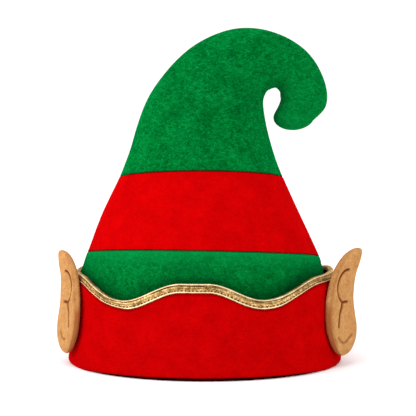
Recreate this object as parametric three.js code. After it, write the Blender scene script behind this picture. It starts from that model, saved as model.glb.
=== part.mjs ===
// Elf hat: a three-band cloth crown with a curled tip, a turned-up cuff edged with gold binding,
// and two padded ears sewn to the cuff's sides.
// Millimetres. +X is the side that the tip curls towards, -Y is the front and +Z is up.
// The hat stands on its cuff, with the origin under the middle of its box.

import * as THREE from "three";

// Clearance between sewn pieces, and cloth thicknesses
const GAP = 0.3;
const CROWN_WALL = 2.2;
const CUFF_WALL = 2.1;
const TRIM_WALL = 0.8;

// Turned-up cuff: size outside at the fold, and how far it leans in for each unit of height
const CUFF_WIDTH = 240;
const CUFF_DEPTH = 209;
const CUFF_LEAN = 0.112;
const CUFF_FOLD = 7;
const CUFF_FLAT = 2.4;
const RETURN_HEIGHT = 14;

// Wavy top edge of the cuff: height of its valleys, how far its peaks rise, how many degrees the
// wave is turned round the hat, and its binding
const EDGE_HEIGHT = 65.5;
const EDGE_RISE = 15.8;
const EDGE_TURN = -5;
const TRIM_WIDTH = 8;
const TRIM_INSIDE = 5;
const TRIM_BEVEL = 0.48;

// Crown: room that it leaves inside the cuff's edge, which it shares out towards +X, height of its
// middle line at the crest, how far the curl stands out, and the tip's wall
const CROWN_EASE = 2.2;
const CREST_HEIGHT = 264;
const CURL_REACH = 85.5;
const TIP_WALL = 2.4;
const SIDE_RIDGE = 1.12;

// Seams between the bands: height at the side seams, and how far they rise at front and back
const LOWER_SEAM = 93.3;
const LOWER_SEAM_RISE = 13.7;
const LOWER_SEAM_SLANT = 1.8;
const UPPER_SEAM = 161;
const UPPER_SEAM_RISE = 10.5;
const UPPER_SEAM_SLANT = 0.7;

// Ears: size of the padded slab, how deep and how sharply its outer face is dished, how square
// its section is (2 is an ellipse), the height of its lowest point, how far it leans in for each
// unit of height, and the share of its length that leans so, below its free tip. How each one
// stands: degrees forward from the cuff's side to its front edge, degrees that it rakes back, its
// length as a share of EAR_LENGTH, how much higher it is sewn on as a share of EAR_CLEARANCE, and
// how far its free tip leans in for each unit of height
const EAR_LENGTH = 90;
const EAR_WIDTH = 59;
const EAR_THICKNESS = 7;
const EAR_DISH = 1.6;
const EAR_DISH_SHARPNESS = 4;
const EAR_SQUARENESS = 2.4;
const EAR_CLEARANCE = 10;
const EAR_LEAN = 0.15;
const EAR_HELD_SHARE = 0.55;
const LEFT_EAR = { attach: 26, rake: 63, length: 0.95, raise: 0.14, tipLean: 0.13 };
const RIGHT_EAR = { attach: 27.5, rake: 50.5, length: 1, raise: 0, tipLean: 0.05 };

// Facets: rows and columns of the panels and ears, and the rows of the rounded tip as shares of it
const AROUND = 72;
const PANEL_COLUMNS = 14;
const MIDDLE_ROWS = 4;
const TOP_ROWS = 24;
const CAP_SHARES = [0.35, 0.6, 0.8, 0.92, 0.98, 1];
const EAR_ROWS = 26;
const EAR_COLUMNS = 12;

// Points nearer than this are one point, and the step that slopes are taken over
const SAME_POINT = 1e-4;
const SLOPE_STEP = 0.01;
const HALVINGS = 40;

const FULL_TURN = 2 * Math.PI;
const radians = THREE.MathUtils.degToRad;
const mix = THREE.MathUtils.lerp;

// Wavy edge, going round from its front peak (0 degrees) towards +X (90) to the back (180):
// height is a share of EDGE_RISE
const EDGE_WAVE = [
  { round: -180, height: 1 },
  { round: -149, height: 0.05 },
  { round: -102, height: 0.9 },
  { round: -68, height: 0.88 },
  { round: -33.5, height: -0.06 },
  { round: -5, height: 1 },
  { round: 6.5, height: 1 },
  { round: 31.5, height: 0.07 },
  { round: 66, height: 0.96 },
  { round: 104, height: 0.98 },
  { round: 148, height: 0 },
  { round: 180, height: 1 },
];

// Crown above the cuff, along its middle line. side is a share of CURL_REACH, rise is a share of
// the way from the cuff's highest edge to CREST_HEIGHT, half is a share of the crown's half width
// at that edge, depth is half depth over half width, and tilt and turn are degrees
const CROWN_ROWS = [
  { side: -0.024, rise: 0.025, half: 0.986, depth: 0.86, tilt: 0, turn: 0 },
  { side: -0.022, rise: 0.068, half: 0.961, depth: 0.85, tilt: 0, turn: 0 },
  { side: -0.04, rise: 0.275, half: 0.808, depth: 0.82, tilt: 0, turn: 2 },
  { side: -0.037, rise: 0.445, half: 0.67, depth: 0.79, tilt: 0, turn: 4 },
  { side: -0.034, rise: 0.565, half: 0.592, depth: 0.77, tilt: 0, turn: 4 },
  { side: -0.03, rise: 0.68, half: 0.535, depth: 0.75, tilt: 0, turn: 4 },
  { side: 0.004, rise: 0.795, half: 0.48, depth: 0.73, tilt: 2, turn: 4 },
  { side: 0.107, rise: 0.882, half: 0.42, depth: 0.72, tilt: 13, turn: 4 },
  { side: 0.272, rise: 0.957, half: 0.353, depth: 0.71, tilt: 33, turn: 4 },
  { side: 0.5, rise: 1, half: 0.291, depth: 0.7, tilt: 58, turn: 4 },
  { side: 0.731, rise: 0.989, half: 0.223, depth: 0.72, tilt: 93, turn: 4 },
  { side: 0.908, rise: 0.933, half: 0.199, depth: 0.72, tilt: 126, turn: 4 },
  { side: 1, rise: 0.846, half: 0.195, depth: 0.7, tilt: 162, turn: 4 },
  { side: 0.998, rise: 0.78, half: 0.186, depth: 0.72, tilt: 184, turn: 4 },
  { side: 0.908, rise: 0.721, half: 0.15, depth: 0.78, tilt: 191, turn: 4 },
  { side: 0.838, rise: 0.661, half: 0, depth: 0.78, tilt: 191, turn: 4 },
];

// Ear outline from its lowest point to its tip: up is a share of EAR_LENGTH, front and back are
// shares of EAR_WIDTH, and thick is a share of EAR_THICKNESS
const EAR_OUTLINE = [
  { up: 0, front: 0.26, back: 0.32, thick: 0.1 },
  { up: 0.017, front: 0.22, back: 0.4, thick: 0.45 },
  { up: 0.055, front: 0.13, back: 0.51, thick: 0.75 },
  { up: 0.14, front: 0.04, back: 0.645, thick: 0.95 },
  { up: 0.25, front: 0, back: 0.712, thick: 1 },
  { up: 0.36, front: 0.01, back: 0.715, thick: 1 },
  { up: 0.46, front: 0.045, back: 0.72, thick: 1 },
  { up: 0.57, front: 0.1, back: 0.745, thick: 1 },
  { up: 0.68, front: 0.17, back: 0.785, thick: 1 },
  { up: 0.77, front: 0.25, back: 0.845, thick: 1 },
  { up: 0.86, front: 0.375, back: 0.935, thick: 1 },
  { up: 0.94, front: 0.55, back: 1, thick: 0.9 },
  { up: 0.983, front: 0.71, back: 0.995, thick: 0.6 },
  { up: 1, front: 0.82, back: 0.92, thick: 0.1 },
];

// Value of one column between rows, on a smooth curve through them
function smooth(rows, column, place) {
  const last = rows.length - 1;
  const index = Math.min(Math.floor(place), last - 1);
  const value = (i) => rows[THREE.MathUtils.clamp(i, 0, last)][column];
  const share = place - index;
  const [before, from, to, after] = [value(index - 1), value(index), value(index + 1), value(index + 2)];
  const leaving = (to - before) / 2;
  const arriving = (after - from) / 2;
  const square = share * share;
  const cube = square * share;
  return (
    (2 * cube - 3 * square + 1) * from +
    (cube - 2 * square + share) * leaving +
    (3 * square - 2 * cube) * to +
    (cube - square) * arriving
  );
}

// Mesh from lists of points, with its faces pointing out
function solid(name, material, triangles) {
  const points = [];
  const places = new Map();
  const indexOf = (p) => {
    const key = [p.x, p.y, p.z].map((value) => Math.round(value / SAME_POINT)).join();
    if (!places.has(key)) {
      places.set(key, points.length);
      points.push(p);
    }
    return places.get(key);
  };
  let volume = 0;
  const faces = [];
  for (const corners of triangles) {
    const [a, b, c] = corners.map(indexOf);
    if (a === b || b === c || c === a) continue;
    faces.push([a, b, c]);
    volume += points[a].dot(points[b].clone().cross(points[c]));
  }
  const geometry = new THREE.BufferGeometry().setFromPoints(points);
  geometry.setIndex((volume < 0 ? faces.map((face) => face.toReversed()) : faces).flat());
  geometry.computeVertexNormals();
  const mesh = new THREE.Mesh(geometry, material);
  mesh.name = name;
  return mesh;
}

// Two triangles for each cell between neighbouring rows of points
function strip(rowA, rowB, closed = false) {
  const triangles = [];
  const cells = closed ? rowA.length : rowA.length - 1;
  for (let i = 0; i < cells; i += 1) {
    const next = (i + 1) % rowA.length;
    triangles.push([rowA[i], rowA[next], rowB[next]], [rowA[i], rowB[next], rowB[i]]);
  }
  return triangles;
}

// Open sheet of cloth with a wall: outer and inner are matching grids of points
function shell(outer, inner) {
  const triangles = [];
  for (let row = 0; row < outer.length - 1; row += 1) {
    triangles.push(...strip(outer[row], outer[row + 1]));
    triangles.push(...strip(inner[row + 1], inner[row]));
  }
  const lastRow = outer.length - 1;
  const lastColumn = outer[0].length - 1;
  triangles.push(...strip(inner[0], outer[0]));
  triangles.push(...strip(outer[lastRow], inner[lastRow]));
  triangles.push(...strip(outer.map((row) => row[0]), inner.map((row) => row[0])));
  triangles.push(...strip(inner.map((row) => row[lastColumn]), outer.map((row) => row[lastColumn])));
  return triangles;
}

// Closed ring of equal sections
function ring(sections) {
  return sections.flatMap((section, i) => strip(section, sections[(i + 1) % sections.length], true));
}

// Closed body lofted through sections whose two ends are fanned shut
function loft(sections) {
  const triangles = sections.slice(1).flatMap((section, i) => strip(sections[i], section, true));
  const first = sections[0];
  const last = sections[sections.length - 1];
  for (let i = 1; i < first.length - 1; i += 1) {
    triangles.push([first[0], first[i + 1], first[i]]);
    triangles.push([last[0], last[i], last[i + 1]]);
  }
  return triangles;
}

// Cuff: a point of its outer face at a height, moved in by an inset
function cuffPoint(round, height, inset) {
  const lean = CUFF_LEAN * height + inset;
  return new THREE.Vector3(
    (CUFF_WIDTH / 2 - lean) * Math.sin(round),
    -(CUFF_DEPTH / 2 - lean) * Math.cos(round),
    height,
  );
}

// Height of the binding's top edge, eased between the peaks and valleys of the wave
function edgeHeight(round) {
  const turned = THREE.MathUtils.radToDeg(round) - EDGE_TURN;
  const degrees = THREE.MathUtils.euclideanModulo(turned + 180, 360) - 180;
  const next = EDGE_WAVE.findIndex((row) => row.round > degrees);
  const from = EDGE_WAVE[next - 1];
  const to = EDGE_WAVE[next];
  const share = (degrees - from.round) / (to.round - from.round);
  const eased = (1 - Math.cos(Math.PI * share)) / 2;
  return EDGE_HEIGHT + EDGE_RISE * mix(from.height, to.height, eased);
}

// Frame of the wavy edge: along it, out of the cloth, and down the cloth square to the edge
function edgeFrame(round) {
  const step = SLOPE_STEP;
  const at = (turn) => cuffPoint(turn, edgeHeight(turn), CUFF_WALL / 2);
  const along = at(round + step).sub(at(round - step)).normalize();
  const level = cuffPoint(round + step, 0, 0).sub(cuffPoint(round - step, 0, 0)).normalize();
  const up = cuffPoint(round, 1, 0).sub(cuffPoint(round, 0, 0)).normalize();
  const out = level.clone().cross(up).normalize();
  const down = out.clone().cross(along).normalize();
  if (down.z > 0) down.negate();
  return { origin: at(round), out, down };
}

function cuffSections() {
  const radius = CUFF_FOLD / 2;
  const pocket = radius - CUFF_WALL;
  const corner = Math.SQRT1_2;
  const wallShares = [1, 0.5];
  return Array.from({ length: AROUND }, (_, i) => {
    const round = (i / AROUND) * FULL_TURN;
    const { down } = edgeFrame(round);
    const top = edgeHeight(round) - (TRIM_WALL + GAP) / -down.z;
    const outside = wallShares.map((share) => [0, mix(radius, top, share)]);
    const fold = [
      [0, radius],
      [radius * (1 - corner), radius * (1 - corner)],
      [radius - CUFF_FLAT / 2, 0],
      [radius + CUFF_FLAT / 2, 0],
      [radius * (1 + corner), radius * (1 - corner)],
      [CUFF_FOLD, radius],
      [CUFF_FOLD, RETURN_HEIGHT],
      [CUFF_FOLD - CUFF_WALL, RETURN_HEIGHT],
      [CUFF_FOLD - CUFF_WALL, radius],
      [radius, radius - pocket],
      [CUFF_WALL, radius],
    ];
    const inside = wallShares.toReversed().map((share) => [CUFF_WALL, mix(radius, top, share)]);
    return [...outside, ...fold, ...inside].map(([inset, height]) => cuffPoint(round, height, inset));
  });
}

// Binding: a U of thin ribbon over the cuff's edge, longer outside than inside
function trimSections() {
  const half = CUFF_WALL / 2 + GAP + TRIM_WALL;
  const profile = [
    [-half, TRIM_BEVEL],
    [TRIM_BEVEL - half, 0],
    [half - TRIM_BEVEL, 0],
    [half, TRIM_BEVEL],
    [half, TRIM_WIDTH],
    [half - TRIM_WALL, TRIM_WIDTH],
    [half - TRIM_WALL, TRIM_WALL],
    [TRIM_WALL - half, TRIM_WALL],
    [TRIM_WALL - half, TRIM_INSIDE],
    [-half, TRIM_INSIDE],
  ];
  return Array.from({ length: AROUND }, (_, i) => {
    const { origin, out, down } = edgeFrame((i / AROUND) * FULL_TURN);
    return profile.map(([outward, below]) =>
      origin.clone().addScaledVector(out, outward).addScaledVector(down, below),
    );
  });
}

// Crown sections in millimetres: one above the cuff's return, one behind the cuff's highest edge,
// and the rows of the table above them
function crownSections() {
  const edgeTop = EDGE_HEIGHT + EDGE_RISE;
  const behindTrim = CUFF_WALL + TRIM_WALL + 2 * GAP;
  const insideCuff = (height, inset, ease) => {
    const half = CUFF_WIDTH / 2 - CUFF_LEAN * height - inset - ease;
    const deep = CUFF_DEPTH / 2 - CUFF_LEAN * height - inset - ease;
    return { side: -ease, rise: height, half, depth: deep, tilt: 0, turn: 0 };
  };
  const edge = insideCuff(edgeTop, behindTrim, CROWN_EASE);
  const above = CROWN_ROWS.map((row) => ({
    side: row.side * CURL_REACH,
    rise: mix(edgeTop, CREST_HEIGHT, row.rise),
    half: row.half * edge.half,
    depth: row.half * edge.half * row.depth,
    tilt: row.tilt,
    turn: row.turn,
  }));
  return [insideCuff(RETURN_HEIGHT + GAP, CUFF_FOLD - CUFF_WALL, 0), edge, ...above];
}

const SECTIONS = crownSections();
const EDGE_PLACE = 1;
const TIP_PLACE = SECTIONS.length - 1;
const CAP_PLACE = TIP_PLACE - 1;

// Section at a place along the crown: straight inside the cuff, smooth above it, and rounded
// like half an ellipse at the tip
function crownAt(place) {
  const between = (from, share, column) => mix(SECTIONS[from][column], SECTIONS[from + 1][column], share);
  const closing = place - CAP_PLACE;
  const value = (column) => {
    if (place < EDGE_PLACE) return between(0, place, column);
    if (closing > 0) return between(CAP_PLACE, closing, column);
    return smooth(SECTIONS.slice(EDGE_PLACE, TIP_PLACE), column, place - EDGE_PLACE);
  };
  const row = Object.fromEntries(Object.keys(SECTIONS[0]).map((column) => [column, value(column)]));
  if (closing > 0) {
    const roundness = Math.sqrt(Math.max(0, 1 - closing * closing));
    row.half = SECTIONS[CAP_PLACE].half * roundness;
    row.depth = SECTIONS[CAP_PLACE].depth * roundness;
  }
  return row;
}

// Place along the straight part of the crown where its middle line reaches a height
function placeOfHeight(height) {
  let low = 0;
  let high = SECTIONS.findIndex((row) => row.rise >= CREST_HEIGHT);
  for (let i = 0; i < HALVINGS; i += 1) {
    const middle = (low + high) / 2;
    if (crownAt(middle).rise < height) low = middle;
    else high = middle;
  }
  return low;
}

// Point on the front (facing -1) or back (facing 1) panel. angle runs from the +X side seam to
// the -X one
function crownPoint(place, angle, facing, inset) {
  const row = crownAt(place);
  const half = Math.max(0, row.half - inset);
  const depth = Math.max(0, row.depth - inset - GAP / 2);
  const across = half * Math.cos(angle);
  const deep = GAP / 2 + depth * Math.pow(Math.abs(Math.sin(angle)), SIDE_RIDGE);
  const tilt = radians(row.tilt);
  const point = new THREE.Vector3(
    row.side + across * Math.cos(tilt),
    facing * deep,
    row.rise - across * Math.sin(tilt),
  );
  return point.applyAxisAngle(new THREE.Vector3(0, 0, 1), radians(row.turn));
}

function lowerSeam(angle) {
  const rise = LOWER_SEAM_RISE * Math.sin(angle) - LOWER_SEAM_SLANT * Math.cos(angle);
  return placeOfHeight(LOWER_SEAM + rise);
}

function upperSeam(angle) {
  const rise = UPPER_SEAM_RISE * Math.sin(angle) - UPPER_SEAM_SLANT * Math.cos(angle);
  return placeOfHeight(UPPER_SEAM + rise);
}

// Share of a place that GAP / 2 takes, at a place along the crown
function halfGap(place) {
  const risen = crownAt(place + SLOPE_STEP).rise - crownAt(place - SLOPE_STEP).rise;
  const speed = risen / (2 * SLOPE_STEP);
  return GAP / 2 / speed;
}

// Panel of one band. stations lists, for an angle, the places of its rows
function panel(name, material, facing, stations, innerStations = stations) {
  const angles = Array.from({ length: PANEL_COLUMNS + 1 }, (_, i) => (i / PANEL_COLUMNS) * Math.PI);
  const grid = (rows, inset) =>
    rows(0).map((_, row) => angles.map((angle) => crownPoint(rows(angle)[row], angle, facing, inset)));
  return solid(name, material, shell(grid(stations, 0), grid(innerStations, CROWN_WALL)));
}

function lowerStations(angle) {
  const seam = lowerSeam(angle);
  const top = seam - halfGap(seam);
  return [0, EDGE_PLACE, mix(EDGE_PLACE, top, 0.5), top];
}

function middleStations(angle) {
  const from = lowerSeam(angle);
  const to = upperSeam(angle);
  const bottom = from + halfGap(from);
  const top = to - halfGap(to);
  return Array.from({ length: MIDDLE_ROWS + 1 }, (_, i) => mix(bottom, top, i / MIDDLE_ROWS));
}

// Rows of the top band: even along the crown up to its rounded end, then closer together
function topStations(angle, end = TIP_PLACE) {
  const from = upperSeam(angle);
  const bottom = from + halfGap(from);
  const even = Array.from({ length: TOP_ROWS + 1 }, (_, i) => mix(bottom, CAP_PLACE, i / TOP_ROWS));
  return [...even, ...CAP_SHARES.map((share) => mix(CAP_PLACE, end, share))];
}

// Rows of the top band's inner face, which is closed by a flat end a wall short of the tip
function topInnerStations(angle) {
  const [cap, tip] = [SECTIONS[CAP_PLACE], SECTIONS[TIP_PLACE]];
  const capLength = Math.hypot(tip.side - cap.side, tip.rise - cap.rise);
  return topStations(angle, TIP_PLACE - TIP_WALL / capLength);
}

// Ear on the +X side, a padded slab raked back from its front edge: a point at a height share and
// a distance back, moved out of its plane by a lift
function earPoint(stance, up, back, lift) {
  const height = EAR_CLEARANCE * (1 + stance.raise) + up * EAR_LENGTH * stance.length;
  const held = EAR_CLEARANCE + EAR_HELD_SHARE * EAR_LENGTH;
  const lean = EAR_LEAN * Math.min(height, held) + stance.tipLean * Math.max(0, height - held);
  const round = radians(90 - stance.attach);
  const rake = radians(stance.rake);
  return new THREE.Vector3(
    (CUFF_WIDTH / 2) * Math.sin(round) - lean + back * Math.cos(rake) + lift * Math.sin(rake),
    (-CUFF_DEPTH / 2) * Math.cos(round) + back * Math.sin(rake) - lift * Math.cos(rake),
    height,
  );
}

// Sections of the ear from its lowest point to its tip: round the outer face, which is dished
// behind a raised rim, and back along the face that lies against the cuff
function earSections(stance) {
  const last = EAR_OUTLINE.length - 1;
  const turns = Array.from({ length: EAR_COLUMNS + 1 }, (_, i) => (Math.PI * i) / EAR_COLUMNS);
  const steps = turns.map((turn) => (1 - Math.cos(turn)) / 2);
  return Array.from({ length: EAR_ROWS + 1 }, (_, i) => {
    const place = (i / EAR_ROWS) * last;
    const [up, front, back, thick] = ["up", "front", "back", "thick"].map((column) =>
      smooth(EAR_OUTLINE, column, place),
    );
    const inward = Math.sin(Math.PI * THREE.MathUtils.clamp(up, 0, 1));
    const half = (EAR_THICKNESS / 2) * thick;
    const lift = (share) => half * (1 - Math.abs(2 * share - 1) ** EAR_SQUARENESS) ** (1 / EAR_SQUARENESS);
    const dish = (share) => EAR_DISH * inward * Math.sin(Math.PI * share) ** EAR_DISH_SHARPNESS;
    const across = (share) => mix(front, back, share) * EAR_WIDTH;
    const outer = steps.map((share) => earPoint(stance, up, across(share), lift(share) - dish(share)));
    const inner = steps
      .slice(1, -1)
      .toReversed()
      .map((share) => earPoint(stance, up, across(share), -lift(share)));
    return [...outer, ...inner];
  });
}

// Distance that the ear moves out so that it just clears the cuff and its binding
function earSeat(sections) {
  const trimBottom = EDGE_HEIGHT - TRIM_WIDTH;
  const shortfalls = sections.flat().map((point) => {
    const proud = point.z > trimBottom ? TRIM_WALL + GAP : 0;
    const half = CUFF_WIDTH / 2 - CUFF_LEAN * point.z + proud;
    const deep = CUFF_DEPTH / 2 - CUFF_LEAN * point.z + proud;
    const surface = half * Math.sqrt(Math.max(0, 1 - (point.y / deep) ** 2));
    return point.z < EDGE_HEIGHT + EDGE_RISE ? surface + GAP - point.x : -Infinity;
  });
  return Math.max(...shortfalls);
}

function ear(name, material, side, stance) {
  const sections = earSections(stance);
  const seat = earSeat(sections);
  const placed = sections.map((section) =>
    section.map((point) => new THREE.Vector3(side * (point.x + seat), point.y, point.z)),
  );
  return solid(name, material, loft(placed));
}

const green = new THREE.MeshStandardMaterial({ color: 0x08813a, roughness: 0.95, metalness: 0 });
const red = new THREE.MeshStandardMaterial({ color: 0xd2040a, roughness: 0.95, metalness: 0 });
const gold = new THREE.MeshStandardMaterial({ color: 0xd9b06a, roughness: 0.35, metalness: 0.9 });
const felt = new THREE.MeshStandardMaterial({ color: 0xd29a60, roughness: 0.95, metalness: 0 });

const FRONT = -1;
const BACK = 1;
const LEFT = -1;
const RIGHT = 1;

const hat = new THREE.Group();
hat.add(
  panel("lower_front_panel", green.clone(), FRONT, lowerStations),
  panel("lower_back_panel", green.clone(), BACK, lowerStations),
  panel("middle_front_panel", red.clone(), FRONT, middleStations),
  panel("middle_back_panel", red.clone(), BACK, middleStations),
  panel("top_front_panel", green.clone(), FRONT, topStations, topInnerStations),
  panel("top_back_panel", green.clone(), BACK, topStations, topInnerStations),
  solid("cuff", red.clone(), ring(cuffSections())),
  solid("gold_trim", gold, ring(trimSections())),
  ear("left_ear", felt.clone(), LEFT, LEFT_EAR),
  ear("right_ear", felt.clone(), RIGHT, RIGHT_EAR),
);

// Put the middle of the box over the origin
const middle = new THREE.Box3().setFromObject(hat).getCenter(new THREE.Vector3());
hat.position.set(-middle.x, -middle.y, 0);

export default hat;
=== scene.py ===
# Elf hat: a fleece crown with a curled tip, a turned-up cuff bound in gold ribbon, and padded
# felt ears sewn to the cuff's sides.
# Metres. +X is the side that the tip curls towards, -Y is the front and +Z is up.

import math

import bpy
import numpy as np
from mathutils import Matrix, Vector


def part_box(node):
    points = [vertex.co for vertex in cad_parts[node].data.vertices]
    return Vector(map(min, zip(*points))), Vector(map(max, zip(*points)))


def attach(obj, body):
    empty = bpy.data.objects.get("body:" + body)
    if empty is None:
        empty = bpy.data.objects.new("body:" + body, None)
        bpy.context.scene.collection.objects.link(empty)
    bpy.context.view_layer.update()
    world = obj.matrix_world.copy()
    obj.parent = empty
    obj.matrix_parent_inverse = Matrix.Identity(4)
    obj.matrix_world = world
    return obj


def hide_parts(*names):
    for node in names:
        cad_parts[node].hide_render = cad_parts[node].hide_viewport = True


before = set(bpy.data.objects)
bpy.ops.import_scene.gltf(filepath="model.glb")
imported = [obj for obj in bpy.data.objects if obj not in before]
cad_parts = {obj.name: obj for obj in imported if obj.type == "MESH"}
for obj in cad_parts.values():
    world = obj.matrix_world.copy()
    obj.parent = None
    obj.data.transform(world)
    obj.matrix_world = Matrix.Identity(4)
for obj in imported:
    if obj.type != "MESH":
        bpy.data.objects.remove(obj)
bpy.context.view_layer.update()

MM = 0.001

# Clearance between sewn pieces, and cloth thicknesses
GAP = 0.3 * MM
CROWN_WALL = 2.2 * MM
CUFF_WALL = 2.1 * MM
TRIM_WALL = 0.8 * MM

# Turned-up cuff: how far it leans in for each unit of height, its fold, the return inside, and how
# far the fold lifts off the surface at front and back, falling to nothing this far round
CUFF_LEAN = 0.112
CUFF_FOLD = 7 * MM
RETURN_HEIGHT = 14 * MM
FOLD_LIFT = 2.9 * MM
FOLD_LIFT_REACH = math.radians(60)
FOLD_LIFT_EASE = 0.7

# How the cuff's cloth moves outwards. It is held up to a height, and freed over the next stretch.
# It puffs out at a distance below its top edge, and its swells grow from that edge down
CUFF_HELD_HEIGHT = 6 * MM
CUFF_FREED_OVER = 10 * MM
CUFF_PUFF = 0.7 * MM
CUFF_PUFF_BELOW = 10 * MM
CUFF_PUFF_REACH = 6 * MM
CUFF_LOOSE_OVER = 12 * MM

# Painted shade over all of the cuff: how much darker its pile is than the crown's
CUFF_PAINTED_SHADE = 0.09

# Sizes read from the frame. The cuff is widest at the middle of its fold
cuff_low, cuff_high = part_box("cuff")
CENTRE_X = (cuff_low.x + cuff_high.x) / 2
CUFF_WIDTH = cuff_high.x - cuff_low.x + CUFF_LEAN * CUFF_FOLD
CUFF_DEPTH = cuff_high.y - cuff_low.y + CUFF_LEAN * CUFF_FOLD

# Wavy top edge of the cuff: height of its valleys, how far its peaks rise, degrees that the wave
# is turned round the hat, and its binding
EDGE_HEIGHT = 65.5 * MM
EDGE_RISE = 15.8 * MM
EDGE_TURN = -5
TRIM_WIDTH = 8 * MM

# Crown: room inside the cuff's edge, height of its middle line at the crest, how far the curl
# stands out, the tip's wall, and how sharp the ridges at its sides are, where 1 is round
CROWN_EASE = 2.2 * MM
CREST_HEIGHT = 264 * MM
CURL_REACH = 85.5 * MM
TIP_WALL = 2.4 * MM
SIDE_RIDGE = 1.12

# Seams between the bands: height at the side seams, and how far they rise at front and back
LOWER_SEAM = 93.3 * MM
LOWER_SEAM_RISE = 13.7 * MM
LOWER_SEAM_SLANT = 1.8 * MM
UPPER_SEAM = 161 * MM
UPPER_SEAM_RISE = 10.5 * MM
UPPER_SEAM_SLANT = 0.7 * MM

# Cloth edges roll into their seams with these radii, but at the side seams no more than this share
# of the panel's width, and by no more than this share of the wall
SEAM_ROLL = 1.1 * MM
SIDE_SEAM_ROLL = 1.0 * MM
SIDE_ROLL_SHARE = 0.12
ROLL_WALL_SHARE = 0.9

# The crown's cloth swells freely this far from its side seams and above the cuff's valleys, and
# puckers fade over this length from a seam
CROWN_FREED_OVER = 8 * MM
PUCKER_REACH = 7 * MM

# Swells of the cloth. Columns: height, size and seed
CUFF_SWELLS = ((0.5 * MM, 60 * MM, 3), (0.2 * MM, 22 * MM, 4))
CUFF_NAP = ((0.07 * MM, 5 * MM, 5),)
TRIM_CRUMPLES = ((0.12 * MM, 18 * MM, 12), (0.05 * MM, 3.5 * MM, 11))
CROWN_SWELLS = ((0.55 * MM, 55 * MM, 21), (0.22 * MM, 20 * MM, 22))
CROWN_PUCKERS = ((0.16 * MM, 9 * MM, 23),)
CROWN_NAP = ((0.12 * MM, 5 * MM, 24),)
EAR_SWELLS = ((0.3 * MM, 16 * MM, 31), (0.06 * MM, 4 * MM, 32))

# Painted shade on the pile and painted light on it: strength, and the length that it fades over
SEAM_SHADE = (0.75, 0.6 * MM)
TRIM_SHADE = (0.55, 0.9 * MM)
BEHIND_EDGE_SHADE = (0.6, 9 * MM)
SIDE_SEAM_PAINTED_LIGHT = (0.25, 2 * MM)
LOWER_SEAM_PAINTED_LIGHT = (0.7, 8 * MM)
TIP_PAINTED_LIGHT = (0.75, 22 * MM)

# Ears: the padded slab, how hollow its outer face is and how narrow that hollow, how square its
# section is, and how it stands on the cuff
EAR_LENGTH = 90 * MM
EAR_WIDTH = 59 * MM
EAR_THICKNESS = 7 * MM
EAR_DISH = 1.6 * MM
EAR_DISH_SHARPNESS = 4
EAR_SQUARENESS = 2.4
EAR_CLEARANCE = 10 * MM
EAR_LEAN = 0.15
EAR_HELD_SHARE = 0.55
LEFT_EAR = {"attach": 26, "rake": 63, "length": 0.95, "raise": 0.14, "tip_lean": 0.13}
RIGHT_EAR = {"attach": 27.5, "rake": 50.5, "length": 1, "raise": 0, "tip_lean": 0.05}

# Ear creases: depth of the sewn grooves, the lowest one's share of it and their half width. Below
# this share of the slab's half thickness, its front edge is the side strip, with painted shade and
# a painted red reflection from the cuff
CREASE_DEPTH = 1.2 * MM
LOWEST_CREASE_SHARE = 0.45
CREASE_HALF_WIDTH = 1.0 * MM
STRIP_SHARE = 0.72
STRIP_SOFTNESS = 0.1

# The seam beside the strip: its width as a share of the half thickness, its depth and how dark its
# painted shade is. Then how dark a crease is for each share of its depth, and how much of the
# strip's painted shade and reflection the back has
STRIP_SEAM_WIDTH = 0.09
STRIP_SEAM_DEPTH = 0.25 * MM
STRIP_SEAM_TONE = 0.35
CREASE_TONE = 1.5
STRIP_BEHIND = 0.8

# The strip's painted shade and reflection show up to this share of the ear's length, fade over the
# next one, and leave this much of themselves above
STRIP_TOP = 0.42
STRIP_FADE = 0.16
STRIP_ABOVE = 0.25

# Camera, from the middle of the cuff's base
CAMERA_PLACE = Vector((0, -1.8305, 0.3395))
CAMERA_AIM = Vector((0.0028, 0, 0.134))
CAMERA_LENS = 182.86
CAMERA_SENSOR = 36

# Soft studio light. Columns of the lamps: name, place, aim, size and power
SKY_STRENGTH = 1.15
LAMPS = (
    ("key", (-1.9, -0.8, 1.3), (0, 0, 0.12), 1.0, 26),
    ("top", (-0.2, -0.6, 2.2), (0, 0, 0), 1.6, 10),
    ("fill", (2.0, -0.8, 1.0), (0, 0, 0.12), 1.0, 8),
)
FLOOR_SIZE = 8
FLOOR_TONE = 0.95

# How finely the meshes are divided
CUFF_STEPS = {"around": 480, "wall": 46, "fold": 40, "return": 6}
TRIM_STEPS = {"around": 1280, "section": 63}
STITCH_STEPS = {"around": 6, "along": 6}
CROWN_STEPS = {"across": 180, "top_across": 120, "lower": 56, "middle": 64, "top": 170, "tip": 22}
EAR_STEPS = {"up": 180, "across": 92}

# Wavy edge, going round from its front peak (0 degrees) towards +X (90) to the back (180).
# Columns: degrees round, and height as a share of EDGE_RISE
EDGE_WAVE = (
    (-180, 1),
    (-149, 0.05),
    (-102, 0.9),
    (-68, 0.88),
    (-33.5, -0.06),
    (-5, 1),
    (6.5, 1),
    (31.5, 0.07),
    (66, 0.96),
    (104, 0.98),
    (148, 0),
    (180, 1),
)

# Fold of the cuff in section, from its outer face under to its inner one. Columns: inset and
# height in millimetres where it lies flat, how far further in it is where it lifts, the share of
# FOLD_LIFT that it rises there, and how dark the painted shade in the recess under it is
FOLD_PROFILE = (
    (0, 3.5, 0, 0.75, 0),
    (0.3, 2.1, 0, 0.8, 0),
    (1.0, 1.0, 0, 0.88, 0.1),
    (1.9, 0.25, 0.1, 0.92, 0.9),
    (2.6, 0, 0.4, 0.97, 1),
    (3.2, 0, 0.7, 0.8, 1),
    (3.7, 0, 0.6, 0.35, 1),
    (4.2, 0, 0.4, 0, 1),
    (4.8, 0, 0.6, 0, 1),
    (5.7, 0.8, 0.5, 0, 0.4),
    (6.6, 2.0, 0.2, 0, 0),
    (7, 3.5, 0, 0, 0),
)

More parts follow.
